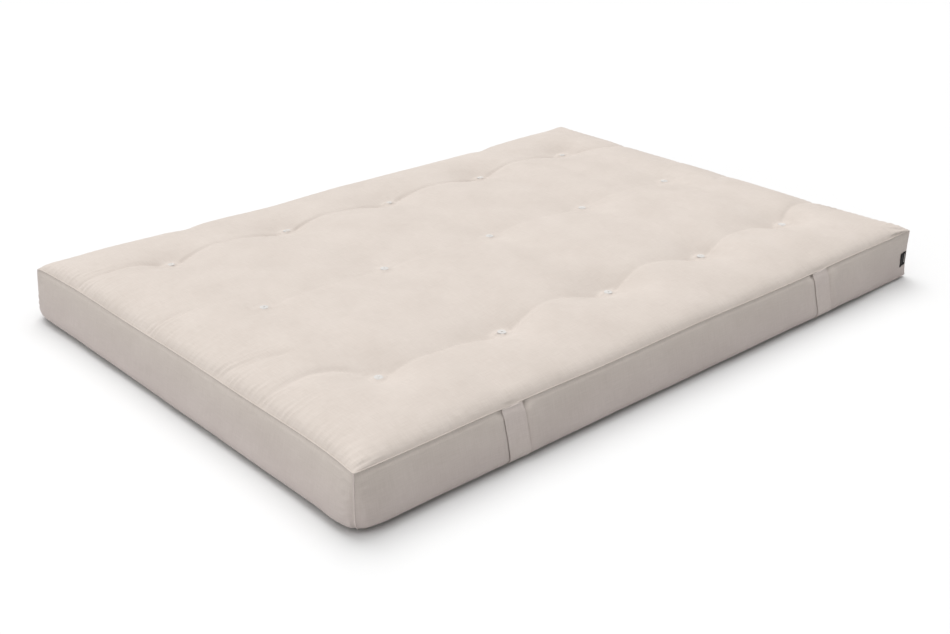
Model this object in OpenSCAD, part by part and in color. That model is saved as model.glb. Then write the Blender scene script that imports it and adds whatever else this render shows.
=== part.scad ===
// Tufted futon mattress: a six-panel cotton casing over cotton batts and a coir core.
// Origin at the centre of the underside. +X runs along the length, +Y across, +Z up.

/* [Mattress] */
// Overall length, over the corner seams
mattress_l = 2000; // [1800:10:2100]
// Overall width, over the bulge of the side borders
mattress_w = 1400; // [1300:10:1600]
// Height of the top seam above the floor
edge_h = 140; // [130:5:160]
// Height of the crown of the top, between the tufts
crown_h = 190; // [185:1:200]
// How far the border panels bulge out beyond their seams
side_bulge = 12; // [8:1:16]
// Length over which the top rises from each end seam to the crown
end_run = 350; // [300:10:400]
// Width over which the top rises from each side seam to the crown
side_run = 500; // [450:10:550]

/* [Casing] */
// Thickness of the cotton casing cloth
casing_t = 1.5; // [1:0.1:2]
// How far the ridges along the top and bottom seams stand out
seam_ridge_t = 2.4; // [2:0.1:3]
// Height of the side of the top and bottom seam ridges
seam_ridge_h = 5; // [4:0.5:6]
// How far the corner seams stand out
corner_ridge = 2; // [1:0.1:2.5]
// Width of the corner seam ridges
corner_ridge_w = 5; // [4:0.5:6]

/* [Filling] */
// Thickness of the coir core sheet
core_t = 30; // [20:1:40]
// Height of the underside of the coir core
core_z = 75; // [70:1:80]
// Width of the cotton wrapped round the edge of the core
wrap_w = 25; // [15:1:35]
// Thickness of the level batt that lies on the core
level_batt_t = 18; // [14:1:20]

/* [Tufts] */
// Spacing of the tufts along the length
tuft_pitch_x = 370; // [330:5:380]
// Spacing of the tufts across the width
tuft_pitch_y = 445; // [400:5:450]
// Height of the top felt pads in the centre row
pad_top_centre = 180; // [176:1:182]
// Height of the top felt pads in the outer rows
pad_top_outer = 158; // [155:1:162]
// Height of the bottom felt pads' seats above the floor
bottom_seat = 10; // [9:1:14]
// Radius of the felt pads
pad_r = 11; // [10:0.5:14]
// Thickness of the felt pads
pad_t = 2.5; // [2:0.5:3]
// Radius of the tufting twine
twine_r = 1.2; // [1:0.1:1.4]

/* [Straps and label] */
// Width of the carry straps
strap_w = 62; // [50:1:70]
// Thickness of the carry straps
strap_t = 1.8; // [1.5:0.1:2.5]
// Distance of each strap's centre from the end of the mattress
strap_inset = 430; // [350:5:500]
// Length of the woven label
label_l = 30; // [25:1:35]
// Height of the woven label
label_h = 41; // [35:1:45]
// Thickness of the woven label
label_t = 0.8; // [0.6:0.1:1]
// Height of the label's lower edge
label_z = 36; // [32:1:40]

/* [Hidden] */

cotton = "#e5dcd3";
cotton_side = "#d8cec5";
seam_cotton = "#efe7de";
batt_cotton = "#f4f0e8";
coir_brown = "#8a5c34";
felt_white = "#faf8f4";
twine_grey = "#b9b4aa";
label_black = "#161616";

curve_fn = 256;
small_fn = 48;
seam_gap = 0.1;       // between panels that are sewn edge to edge
layer_gap = 0.4;      // between layers of filling
strap_gap = 0.5;      // between a strap and the border it lies on
margin = 60;          // how far cutting shapes run past what they cut

half_l = mattress_l / 2 - corner_ridge;
half_w = mattress_w / 2;
skin = casing_t + layer_gap;
core_top = core_z + core_t;
cut_l = 2 * (half_l + margin);
cut_w = 2 * (half_w + margin);
bulge_r = (edge_h * edge_h / 4 + side_bulge * side_bulge) / (2 * side_bulge);

tuft_cols = [-2:2];
tuft_rows = [-1:1];
seat_r = pad_r + 2;           // flat floor of each tuft's hollow
hollow_spread = 1.6;          // how fast a hollow widens with height
twine_clear = 0.4;            // between the twine and what it passes through
knot_r = 3.2;
knot_h = 1.5;

top_seam_z = [edge_h - seam_ridge_h, edge_h];
bottom_seam_z = [4, 4 + seam_ridge_h];   // clear of the floor
ridge_z = [bottom_seam_z[1] + 1, top_seam_z[0] - 1];
strap_z = [bottom_seam_z[1] + 3, top_seam_z[0] - 3];
strap_x = half_l + corner_ridge - strap_inset;
label_clear = 5;              // from the corner to the label's sewn edge

stitch_l = 6;
stitch_h = 1.6;
stitch_t = 0.9;
stitch_pitch = 12;
stitch_z = 15;
stitch_count = 42;

// ---- Profiles ----

// Outline of the domed top: flat in the middle, falling in an arc to each seam.
module dome_section(half, run, edge_z, crown_z, d) {
    rise = crown_z - edge_z;
    arc_r = (run * run + rise * rise) / (2 * rise);
    flat = half - side_bulge - run;
    reach = run + side_bulge + margin;
    translate([-flat, -margin])
        square([2 * flat, crown_z - d + margin]);
    for (side = [-1, 1])
        intersection() {
            translate([side * flat, crown_z - arc_r])
                circle(r = arc_r - d, $fn = curve_fn);
            translate([side > 0 ? flat : -flat - reach, -margin])
                square([reach, crown_z + margin]);
        }
}

// Outline of the bulging sides and the flat underside, drawn in by d.
module side_section(half, d) {
    core = half - bulge_r;
    translate([-core, d])
        square([2 * core, crown_h]);
    for (side = [-1, 1])
        intersection() {
            translate([side * core, edge_h / 2])
                circle(r = bulge_r - d, $fn = curve_fn);
            translate([side > 0 ? core : -half - margin, d])
                square([bulge_r + margin, crown_h]);
        }
}

// Arc strip that lies on the outside of a side border, gap away from it.
module side_strip(z_range, gap, t) {
    intersection() {
        translate([half_w - bulge_r, edge_h / 2])
            difference() {
                circle(r = bulge_r + gap + t, $fn = curve_fn);
                circle(r = bulge_r + gap, $fn = curve_fn);
            }
        translate([half_w - bulge_r, z_range[0]])
            square([2 * bulge_r, z_range[1] - z_range[0]]);
    }
}

// ---- Shapes shared by the sub-parts ----

// Everything under a dome that rises from edge_z to crown_z, drawn down by d.
module dome_block(edge_z, crown_z, d) {
    intersection() {
        rotate([90, 0, 0])
            linear_extrude(height = cut_w, center = true)
                dome_section(half_l, end_run, edge_z, crown_z, d);
        rotate([90, 0, 90])
            linear_extrude(height = cut_l, center = true)
                dome_section(half_w, side_run, edge_z, crown_z, d);
    }
}

// The whole filled mattress without its tufts, drawn in by d all round.
module filled_shape(d) {
    intersection() {
        dome_block(edge_h, crown_h, d);
        rotate([90, 0, 0])
            linear_extrude(height = cut_w, center = true)
                side_section(half_l, d);
        rotate([90, 0, 90])
            linear_extrude(height = cut_l, center = true)
                side_section(half_w, d);
    }
}

// A level slab over the whole plan.
module slab(z_low, z_high) {
    translate([-cut_l / 2, -cut_w / 2, z_low])
        cube([cut_l, cut_w, z_high - z_low]);
}

// Places its children at every tuft.
module at_tufts(rows = tuft_rows) {
    for (row = rows, col = tuft_cols)
        translate([col * tuft_pitch_x, row * tuft_pitch_y, 0])
            children();
}

// One tuft's hollow, a cone that widens upwards from its seat.
module hollow(seat_z, depth) {
    translate([0, 0, seat_z])
        cylinder(
            h = depth,
            r1 = seat_r,
            r2 = seat_r + hollow_spread * depth,
            $fn = small_fn
        );
}

// The hollows in the top, let down by d.
module top_hollows(d) {
    at_tufts([0])
        hollow(pad_top_centre - pad_t - d, crown_h - pad_top_centre + pad_t + d + 5);
    at_tufts([-1, 1])
        hollow(pad_top_outer - pad_t - d, crown_h - pad_top_outer + pad_t + d + 5);
}

// The hollows in the underside, raised by d.
module bottom_hollows(d) {
    at_tufts()
        translate([0, 0, bottom_seat + d])
            mirror([0, 0, 1])
                hollow(0, bottom_seat + d + 1);
}

// Upright holes for the twine.
module twine_holes(clear) {
    at_tufts()
        translate([0, 0, -1])
            cylinder(h = crown_h + 2, r = twine_r + clear, $fn = small_fn);
}

// The strip of border panel that runs right round the mattress.
module border_ring() {
    difference() {
        intersection() {
            filled_shape(0);
            dome_block(edge_h, crown_h, casing_t + seam_gap);
            slab(casing_t + seam_gap, crown_h);
        }
        filled_shape(casing_t);
    }
}

// Mitred wedge that holds one side of the border ring, towards -Y.
module mitre(half_along, half_across) {
    reach = half_along + margin - seam_gap;
    depth = 2 * margin;
    translate([0, 0, -1])
        linear_extrude(height = crown_h + 2)
            polygon([
                [-reach, -half_across - margin],
                [reach, -half_across - margin],
                [reach - depth, -half_across - margin + depth],
                [-reach + depth, -half_across - margin + depth]
            ]);
}

module long_border() {
    color(cotton_side)
        intersection() {
            border_ring();
            mitre(half_l, half_w);
        }
}

module end_border() {
    color(cotton_side)
        intersection() {
            border_ring();
            rotate([0, 0, 90])
                mitre(half_w, half_l);
        }
}

// A ridge that stands out from the casing all round, between two heights.
module seam_ridge(z_range) {
    color(seam_cotton)
        intersection() {
            difference() {
                filled_shape(-seam_ridge_t);
                filled_shape(-seam_gap);
            }
            slab(z_range[0], z_range[1]);
        }
}

// A webbing strap that lies against a long border, its ends at the two seams.
module strap(x, side) {
    color(cotton)
        mirror([0, side > 0 ? 0 : 1, 0])
            translate([x, 0, 0])
                rotate([90, 0, 90])
                    linear_extrude(height = strap_w, center = true)
                        side_strip(strap_z, strap_gap, strap_t);
}

// Everything under the face between the two domed batts, raised by d.
module under_domed_face(d) {
    level_z = core_top + level_batt_t;
    dome_block((level_z + edge_h) / 2, (level_z + crown_h) / 2, -d);
}

// One level batt of the three below the core, numbered downwards from 1.
module lower_batt(layer) {
    share = (core_z - skin) / 3;
    top_z = core_z - layer_gap - (layer - 1) * share;
    color(batt_cotton)
        difference() {
            intersection() {
                filled_shape(skin);
                slab(top_z - share + layer_gap, top_z);
            }
            bottom_hollows(skin);
            twine_holes(twine_clear);
        }
}

// ---- Sub-parts ----

module top_panel() {
    color(cotton)
        difference() {
            filled_shape(0);
            top_hollows(0);
            difference() {
                dome_block(edge_h, crown_h, casing_t);
                top_hollows(casing_t);
            }
            twine_holes(twine_clear);
        }
}

module bottom_panel() {
    color(cotton_side)
        difference() {
            union() {
                intersection() {
                    filled_shape(0);
                    slab(-1, casing_t);
                }
                intersection() {
                    bottom_hollows(casing_t);
                    slab(0, crown_h);
                }
            }
            bottom_hollows(0);
            twine_holes(twine_clear);
        }
}

module front_border() {
    long_border();
}

module back_border() {
    mirror([0, 1, 0])
        long_border();
}

module right_border() {
    end_border();
}

module left_border() {
    mirror([1, 0, 0])
        end_border();
}

module top_seam() {
    seam_ridge(top_seam_z);
}

module bottom_seam() {
    seam_ridge(bottom_seam_z);
}

module corner_seams() {
    color(seam_cotton)
        intersection() {
            difference() {
                filled_shape(-corner_ridge);
                filled_shape(-seam_gap);
            }
            for (x = [-1, 1], y = [-1, 1])
                translate([x * half_l, y * half_w, ridge_z[0]])
                    rotate([0, 0, x * y * 45])
                        translate([-margin / 2, -corner_ridge_w / 2, 0])
                            cube([margin, corner_ridge_w, ridge_z[1] - ridge_z[0]]);
        }
}

module front_strap_left() {
    strap(-strap_x, -1);
}

module front_strap_right() {
    strap(strap_x, -1);
}

module back_strap_left() {
    strap(-strap_x, 1);
}

module back_strap_right() {
    strap(strap_x, 1);
}

module coir_core() {
    core_l = 2 * (half_l - side_bulge - wrap_w);
    core_w = 2 * (half_w - side_bulge - wrap_w);
    color(coir_brown)
        difference() {
            translate([-core_l / 2, -core_w / 2, core_z])
                cube([core_l, core_w, core_t]);
            twine_holes(twine_clear);
        }
}

module core_wrap() {
    hole_l = 2 * (half_l - side_bulge - wrap_w + layer_gap);
    hole_w = 2 * (half_w - side_bulge - wrap_w + layer_gap);
    color(batt_cotton)
        difference() {
            intersection() {
                filled_shape(skin);
                slab(core_z, core_top);
            }
            translate([-hole_l / 2, -hole_w / 2, 0])
                cube([hole_l, hole_w, crown_h]);
        }
}

module upper_batt_1() {
    color(batt_cotton)
        difference() {
            intersection() {
                filled_shape(skin);
                slab(core_top + layer_gap, core_top + level_batt_t);
            }
            twine_holes(twine_clear);
        }
}

module upper_batt_2() {
    color(batt_cotton)
        difference() {
            intersection() {
                filled_shape(skin);
                under_domed_face(0);
            }
            slab(-margin, core_top + level_batt_t + layer_gap);
            twine_holes(twine_clear);
        }
}

module upper_batt_3() {
    color(batt_cotton)
        difference() {
            filled_shape(skin);
            under_domed_face(layer_gap);
            top_hollows(skin);
            twine_holes(twine_clear);
        }
}

module lower_batt_1() {
    lower_batt(1);
}

module lower_batt_2() {
    lower_batt(2);
}

module lower_batt_3() {
    lower_batt(3);
}

// A round felt pad with a hole for the twine, its underside at z.
module felt_pad(z) {
    translate([0, 0, z])
        difference() {
            cylinder(h = pad_t, r = pad_r, $fn = small_fn);
            translate([0, 0, -1])
                cylinder(h = pad_t + 2, r = twine_r + twine_clear, $fn = small_fn);
        }
}

module tuft_pads_top() {
    color(felt_white) {
        at_tufts([0])
            felt_pad(pad_top_centre - pad_t);
        at_tufts([-1, 1])
            felt_pad(pad_top_outer - pad_t);
    }
}

module tuft_pads_bottom() {
    color(felt_white)
        at_tufts()
            felt_pad(bottom_seat - pad_t);
}

// Twine from the knot under the bottom pad to the knot on the top pad.
module twine(pad_top) {
    low = bottom_seat - pad_t;
    translate([0, 0, low - knot_h])
        cylinder(h = knot_h, r = knot_r, $fn = small_fn);
    translate([0, 0, low - knot_h / 2])
        cylinder(h = pad_top - low + knot_h, r = twine_r, $fn = small_fn);
    translate([0, 0, pad_top])
        cylinder(h = knot_h, r = knot_r, $fn = small_fn);
}

module tuft_twines() {
    color(twine_grey) {
        at_tufts([0])
            twine(pad_top_centre);
        at_tufts([-1, 1])
            twine(pad_top_outer);
    }
}

module woven_label() {
    color(label_black)
        translate([half_l - label_clear - label_l, -half_w - strap_gap - label_t, label_z])
            cube([label_l, label_t, label_h]);
}

// Hand-sewn stitches that close the filling slit, low on the back border.
module closing_stitches() {
    color(seam_cotton)
        for (i = [0:stitch_count - 1])
            translate([(i - (stitch_count - 1) / 2) * stitch_pitch, 0, 0])
                rotate([90, 0, 90])
                    linear_extrude(height = stitch_l, center = true)
                        side_strip([stitch_z, stitch_z + stitch_h], seam_gap, stitch_t);
}

top_panel();
bottom_panel();
front_border();
back_border();
left_border();
right_border();
top_seam();
bottom_seam();
corner_seams();
front_strap_left();
front_strap_right();
back_strap_left();
back_strap_right();
coir_core();
core_wrap();
upper_batt_1();
upper_batt_2();
upper_batt_3();
lower_batt_1();
lower_batt_2();
lower_batt_3();
tuft_pads_top();
tuft_pads_bottom();
tuft_twines();
woven_label();
closing_stitches();
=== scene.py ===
import math

import bpy
import numpy as np
from mathutils import Matrix, Vector


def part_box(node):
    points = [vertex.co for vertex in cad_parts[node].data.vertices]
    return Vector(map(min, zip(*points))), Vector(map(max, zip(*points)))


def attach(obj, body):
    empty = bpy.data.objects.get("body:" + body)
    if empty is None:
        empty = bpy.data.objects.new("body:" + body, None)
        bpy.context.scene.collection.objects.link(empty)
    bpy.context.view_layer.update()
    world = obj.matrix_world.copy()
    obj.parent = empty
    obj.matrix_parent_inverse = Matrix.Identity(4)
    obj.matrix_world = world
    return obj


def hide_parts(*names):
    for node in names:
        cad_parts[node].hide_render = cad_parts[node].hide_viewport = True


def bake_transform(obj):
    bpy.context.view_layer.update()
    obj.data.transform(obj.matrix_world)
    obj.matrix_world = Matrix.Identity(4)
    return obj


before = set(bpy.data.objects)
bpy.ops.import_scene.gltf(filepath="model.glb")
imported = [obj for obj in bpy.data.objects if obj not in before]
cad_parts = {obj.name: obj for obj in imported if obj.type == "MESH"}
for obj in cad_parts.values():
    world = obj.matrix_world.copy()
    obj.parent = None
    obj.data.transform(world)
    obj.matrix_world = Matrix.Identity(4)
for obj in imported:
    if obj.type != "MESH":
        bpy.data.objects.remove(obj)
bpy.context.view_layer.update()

# ---- sizes, in metres
MM = 0.001
HALF_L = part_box("right_border")[1].x
HALF_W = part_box("back_border")[1].y
SEAM_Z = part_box("top_seam")[1].z + 1 * MM
FLOOR_CLEAR = 0.6 * MM   # between the underside and the floor
BOTTOM_SEAM_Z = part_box("bottom_seam")[1].z - 1 * MM
PAD_R = 11 * MM       # of a felt pad
PAD_T = 2.5 * MM
pads_low, pads_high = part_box("tuft_pads_top")
TUFT_X = np.linspace(pads_low.x + PAD_R, pads_high.x - PAD_R, 5)
TUFT_Y = np.linspace(pads_low.y + PAD_R, pads_high.y - PAD_R, 3)
TUFTS = [(tx, ty) for ty in TUFT_Y for tx in TUFT_X]
OUTER_SEAT = pads_low.z
CENTRE_SEAT = pads_high.z - PAD_T
BOTTOM_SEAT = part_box("tuft_pads_bottom")[1].z
CORE_LOW, CORE_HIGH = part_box("coir_core")
STRAP_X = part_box("front_strap_right")[0].x / 2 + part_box("front_strap_right")[1].x / 2
STRAP_PLACES = (-STRAP_X, STRAP_X)
STRAP_HALF_W = 31 * MM
STRAP_ROWS = 15       # rows in each half of a strap

END_PULL = 13 * MM       # how far the end seams are drawn in between the corners
SIDE_PULL = 8 * MM       # the same for the long seams
SEAM_SAG = 6 * MM        # how far the long seams hang below the corners
BULGE = 25 * MM          # how far the borders swell beyond their seams
BOTTOM_SPREAD = 8 * MM   # how far the bottom seam lies outside the top corners
CORNER_INSET = 14 * MM   # how much further in the bottom seam lies at its rounded corners
LABEL_CORNER_INSET = 4 * MM   # the same at the corner with the label
STRAP_PINCH = 5 * MM     # how far a strap's stitching draws its seam down and in
LEFT_TUCK = 5 * MM       # how far the top of the near left corner is drawn in
LEFT_EARS = 0.5 * MM     # how far the corners at the left stand up
RIGHT_EARS = 4.5 * MM
ROLL = 15 * MM           # how high the top rolls up close behind its seams
CROWN = 40 * MM          # how much higher the filling rises from there to the middle
POKE = 7 * MM            # how far the top of the corner with the label pokes out
POKE_REACH = 60 * MM     # how far from that corner its seams are pushed out too


# ---- small helpers
def smoothstep(low, high, x):
    t = np.clip((x - low) / (high - low), 0, 1)
    return t * t * (3 - 2 * t)


def spaced(count):
    """Places from -1 to 1 that lie closer together near the ends, where the seams are."""
    bend = 1.1
    return np.sin(bend * np.linspace(-1, 1, count)) / math.sin(bend)


def drawn_in(t, power=5):
    """1 along most of a seam and 0 at its two corners, for t from -1 to 1."""
    return 1 - np.abs(t) ** power


def bell(x, width, power=2):
    """1 at x = 0, fading on both sides."""
    return np.exp(-(np.abs(x) / width) ** power)


def beside(d, reach, off):
    """0 on an edge, close to 1 a little way off, and fading beyond."""
    return np.exp(-d / reach) * (1 - np.exp(-d / off))


def ripple(x, pitch, shift=0.0):
    return np.sin(2 * math.pi * x / pitch + shift)


def xyz(x, y, z):
    return np.stack(np.broadcast_arrays(x, y, z), -1)


def unit(vectors):
    return vectors / np.maximum(np.linalg.norm(vectors, axis=-1, keepdims=True), 1e-12)


def rightwards(ahead):
    """Level directions to the right of the ways ahead."""
    return unit(xyz(ahead[:, 1], -ahead[:, 0], 0))


def halfway(grid, axis):
    """Means of each two neighbours along an axis."""
    grid = np.moveaxis(grid, axis, 0)
    return np.moveaxis((grid[1:] + grid[:-1]) / 2, 0, axis)


def spans(grid, axis):
    """Distances between each two neighbours along an axis."""
    return np.linalg.norm(np.diff(grid, axis=axis), axis=-1)


def around(sides):
    """Angles of the points of a ring."""
    return np.linspace(0, 2 * math.pi, sides, endpoint=False)


def noise(nx, ny, cells_x, cells_y, seed, octaves=3):
    """Smooth noise of about -1 to 1 on a grid, from random lattices of rising fineness."""
    source = np.random.default_rng(seed)
    total = np.zeros((nx, ny))
    weight = 0.0
    for octave in range(octaves):
        gx = max(int(cells_x * 2 ** octave), 2)
        gy = max(int(cells_y * 2 ** octave), 2)
        lattice = source.uniform(-1, 1, (gx + 4, gy + 4))
        ix, wx = cubic_weights(np.linspace(1, gx + 1, nx))
        iy, wy = cubic_weights(np.linspace(1, gy + 1, ny))
        layer = np.zeros((nx, ny))
        for a in range(4):
            for b in range(4):
                corner = lattice[np.ix_(ix - 1 + a, iy - 1 + b)]
                layer += wx[:, a][:, None] * wy[:, b][None, :] * corner
        total += layer * 0.5 ** octave
        weight += 0.5 ** octave
    return total / weight


def cubic_weights(f):
    """Lattice cell and the four Catmull-Rom weights for each position."""
    i = np.floor(f).astype(int)
    t = f - i
    weights = [
        -t * (1 - t) ** 2 / 2,
        (2 - 5 * t ** 2 + 3 * t ** 3) / 2,
        (t + 4 * t ** 2 - 3 * t ** 3) / 2,
        -(1 - t) * t ** 2 / 2,
    ]
    return i, np.stack(weights, -1)


def refined(points, axis):
    """The grid with a new row halfway between each two rows, on a smooth curve."""
    points = np.moveaxis(points, axis, 0)
    middle = (points[:-1] + points[1:]) / 2
    middle[1:-1] = (9 * (points[1:-2] + points[2:-1]) - points[:-3] - points[3:]) / 16
    out = np.empty((2 * len(points) - 1,) + points.shape[1:])
    out[::2] = points
    out[1::2] = middle
    return np.moveaxis(out, 0, axis)


def mesh_object(name, points, faces, material):
    mesh = bpy.data.meshes.new(name)
    mesh.from_pydata(np.asarray(points, float).reshape(-1, 3).tolist(), [], faces)
    mesh.update()
    mesh.polygons.foreach_set("use_smooth", np.ones(len(mesh.polygons), bool))
    mesh.materials.append(material)
    obj = bpy.data.objects.new(name, mesh)
    bpy.context.scene.collection.objects.link(obj)
    return obj


def piece(name, shape, material, node):
    """A piece that rides on the mattress for a node of the part; shape is (points, faces)."""
    obj = mesh_object(name, *shape, MATERIALS[material])
    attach(obj, "mattress")
    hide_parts(node)
    return obj


def grid_faces(nx, ny, flip=False, start=0):
    index = np.arange(nx * ny).reshape(nx, ny) + start
    quads = np.stack(
        [index[:-1, :-1], index[1:, :-1], index[1:, 1:], index[:-1, 1:]], -1
    ).reshape(-1, 4)
    return (quads[:, ::-1] if flip else quads).tolist()


def ring_faces(count, sides, closed=False, flip=False):
    """Quads between rings of points that follow one another."""
    index = np.arange(count * sides).reshape(count, sides)
    after = np.roll(index, -1, 1)
    quads = [index, after, np.roll(after, -1, 0), np.roll(index, -1, 0)]
    quads = np.stack(quads[:1] + quads[:0:-1] if flip else quads, -1)
    return (quads if closed else quads[:-1]).reshape(-1, 4).tolist()


def caps(count, sides):
    """The faces that close the first and the last ring."""
    return [list(range(sides))[::-1], list(range((count - 1) * sides, count * sides))]


def joined(parts):
    """One list of points and faces from several."""
    faces = []
    start = 0
    for points, part_faces in parts:
        faces += [[i + start for i in face] for face in part_faces]
        start += len(points)
    return np.concatenate([points for points, _ in parts]), faces


def normals_of(points):
    """Unit normals of a grid of points."""
    return unit(np.cross(np.gradient(points, axis=0), np.gradient(points, axis=1)))


# ---- cloth
def relax(cloth, rest_a, rest_b, target, fixed, rounds, push, pull,
          stiff=0.9, shear=0.25, bend=0.1):
    """Settles a grid of cloth that doesn't stretch over the filling under it.

    cloth[..., 2] is the direction away from the filling, whose surface is target. rest_a
    and rest_b are the cut lengths of the threads both ways. Every round each thread takes
    its own length again, the filling pushes the cloth out and the sewing pulls it in, and
    the fixed points go back to where they are sewn.
    """
    nx, ny = cloth.shape[:2]
    diagonal = np.sqrt(rest_a[:, :-1] ** 2 + rest_b[:-1, :] ** 2)
    threads = []
    for p in (0, 1):
        threads += [
            (np.s_[p:nx - 1:2, :], np.s_[p + 1:nx:2, :], rest_a[p::2, :], stiff),
            (np.s_[:, p:ny - 1:2], np.s_[:, p + 1:ny:2], rest_b[:, p::2], stiff),
            (np.s_[p:nx - 1:2, :-1], np.s_[p + 1:nx:2, 1:], diagonal[p::2, :], shear),
            (np.s_[p:nx - 1:2, 1:], np.s_[p + 1:nx:2, :-1], diagonal[p::2, :], shear),
        ]
    sewn = cloth[fixed].copy()
    for _ in range(rounds):
        for one, other, rest, k in threads:
            a = cloth[one]
            b = cloth[other]
            span = b - a
            length = np.sqrt((span * span).sum(-1)) + 1e-9
            move = span * ((length - rest) / length * 0.5 * k)[..., None]
            a += move
            b -= move
        out = cloth[..., 2]
        gap = target - out
        out += np.where(gap > 0, push, pull) * gap
        bent = np.zeros_like(out)
        bent[1:-1, 1:-1] = laplacian(out)
        out[1:-1, 1:-1] -= bend / 4 * laplacian(bent)
        cloth[fixed] = sewn
    return cloth


def laplacian(f):
    return f[2:, 1:-1] + f[:-2, 1:-1] + f[1:-1, 2:] + f[1:-1, :-2] - 4 * f[1:-1, 1:-1]


# ---- the top panel
GRID = (62, 96)            # cells along and across at the coarsest of the levels
LEVELS = 3
ROUNDS = (150, 120, 110)   # of the cloth's settling, at each level
# where each end seam is gathered, and the row its puckers lead to: (y inside, y on the seam)
GATHERS = {-1: ((0.445, 0.46), (0.11, 0.15), (-0.25, -0.18), (-0.42, -0.37)),
           1: ((0.445, 0.36), (0.0, -0.06), (-0.445, -0.47))}
# long folds at each end: where between the tufts and the seam one starts, its y there, its y
# on the seam, how soon it turns, and its share of the full depth
END_FOLDS = {
    -1: ((0.0, -0.445, -0.345, 5, 1.0), (0.3, -0.25, -0.17, 1, 0.8),
         (0.45, 0.10, 0.16, 1, 0.6), (0.0, 0.445, 0.485, 5, 0.8)),
    1: ((0.0, -0.445, -0.40, 4, 0.9), (0.35, -0.12, -0.06, 1, 0.6),
        (0.4, 0.14, 0.10, 1, 0.5), (0.0, 0.445, 0.36, 5, 1.0)),
}
# depths of the folds: along the outer rows of tufts, the middle row and across the rows
ROW_FOLD, MIDDLE_FOLD, CROSS_FOLD = 6 * MM, 2.5 * MM, 3.5 * MM
# depths of the finest: the end seams' puckers, and the ripples at the end seams, the long
# seams and the corner with the label
PUCKER, END_RIPPLE, SIDE_RIPPLE, LABEL_RIPPLE = 5 * MM, 1.1 * MM, 0.6 * MM, 2.4 * MM
# creases fanning out of a corner: the one with the label, and the others
LABEL_RUCK, CORNER_RUCK = 1.6 * MM, 0.3 * MM
# how much higher than its pad in the part each tuft sits, in mm: rows from front to back
SEAT_RISE = ((10, 4, 0, 0, 0), (7, 7, 3, -2, -2), (5, 8, 5, 2, 0))
LEAN = (0.03, 0.0, -0.06)   # how far each row's pads lean outwards with the cloth
FAR_ROW_DEEPER = 0.5 * MM   # how much deeper in the cloth the far row's pads lie


def outer_row(ty):
    """Whether a row of tufts is the front or the back one."""
    return abs(ty) > 0.1


def tuft_seats():
    """(x, y, height, lean) of every tuft on top."""
    seats = []
    for ty, rises, lean in zip(TUFT_Y, SEAT_RISE, LEAN):
        for tx, rise in zip(TUFT_X, rises):
            base = OUTER_SEAT if outer_row(ty) else CENTRE_SEAT
            seats.append((tx, ty, base + rise * MM, lean))
    return seats


def seen_from(tx, ty, x, y):
    """Distance and bearing of places from a tuft."""
    return np.hypot(x - tx, y - ty), np.arctan2(y - ty, x - tx)


def seam_plan(u, v):
    """Plan position and height of the casing's top edge, spread over the whole panel."""
    x = u * (HALF_L - END_PULL * drawn_in(v))
    to_end = (1 - np.abs(u)) * HALF_L
    to_side = (1 - np.abs(v)) * HALF_W
    side_pull = SIDE_PULL * drawn_in(u)
    long_z = SEAM_Z - SEAM_SAG * drawn_in(u) + 1.6 * MM * np.sin(9 * u + 1) * drawn_in(u)
    for strap in STRAP_PLACES:
        pinch = bell(x - strap, 0.036)
        long_z = long_z - STRAP_PINCH * pinch
        side_pull = side_pull + STRAP_PINCH * pinch
    y = v * (HALF_W - side_pull)
    end_z = SEAM_Z - 2 * MM * drawn_in(v) + 1.2 * MM * np.sin(8 * v + 2) * drawn_in(v)
    from_corner = np.hypot(to_end, to_side)
    corner = bell(from_corner, 0.006, 1.5)
    x = x - np.sign(u) * 1 * MM * corner
    y = y - np.sign(v) * 1 * MM * corner
    poke = bell(from_corner, POKE_REACH, 1.5)
    x = x + POKE * poke * (u > 0) * (v < 0)
    x = x - LEFT_TUCK * poke * (u < 0) * (v < 0)
    ear = np.where(u < 0, LEFT_EARS, RIGHT_EARS) * bell(from_corner, 0.050, 1.5)
    ear = ear - 5 * MM * bell(from_corner, 0.014, 1.5) * (u * v < 0)
    long_z = long_z + ear
    end_z = end_z + ear
    share = to_end / (to_end + to_side + 1e-9)
    return x, y, end_z * (1 - share) + long_z * share, to_end, to_side


def crown(edge_z, to_end, to_side):
    """Height of the filled top before it is tufted."""
    def rise(d, run):
        return 1 - (1 - np.minimum(d / run, 1)) ** 2.2

    roll = ROLL * (1 - np.exp(-to_end / 0.013)) * (1 - np.exp(-to_side / 0.013))
    return edge_z + roll + CROWN * rise(to_end, 0.27) * rise(to_side, 0.30)


def tufted(x, y, z):
    """The filling's surface once the tufts and the folds between them draw it down."""
    drop = np.zeros_like(z)
    for tx, ty, seat_z, _ in tuft_seats():
        sideways = (x - tx) * np.where(x < tx, 0.70, 1.12)
        r = np.maximum(np.hypot(sideways, y - ty) - 9 * MM, 0)
        reach = 0.75 * bell(r, 0.088, 1.5) + 0.25 * np.exp(-r / 0.045)
        drop = np.maximum(drop, np.maximum(z - seat_z, 0) * reach)
    surface = z - drop
    inner = smoothstep(0.79, 0.72, np.abs(x) / HALF_L)
    for ty in TUFT_Y:
        depth = ROW_FOLD if outer_row(ty) else MIDDLE_FOLD
        beyond = y - row_line(x, ty)
        surface -= depth * inner * bell(beyond, 0.055, 1.5)
    first_span = bell(x - (TUFT_X[0] + TUFT_X[1]) / 2, 0.12)
    surface -= 10 * MM * first_span * bell(y - TUFT_Y[0], 0.10)
    for tx in TUFT_X:
        fold = bell(x - tx, 0.050, 1.4)
        surface -= CROSS_FOLD * fold * smoothstep(0.64, 0.40, np.abs(y))
    for end, folds in END_FOLDS.items():
        for fold in folds:
            surface -= end_fold(x, y, end, fold, depth=6 * MM, width=15 * MM, wider=15 * MM)
    return surface


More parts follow.
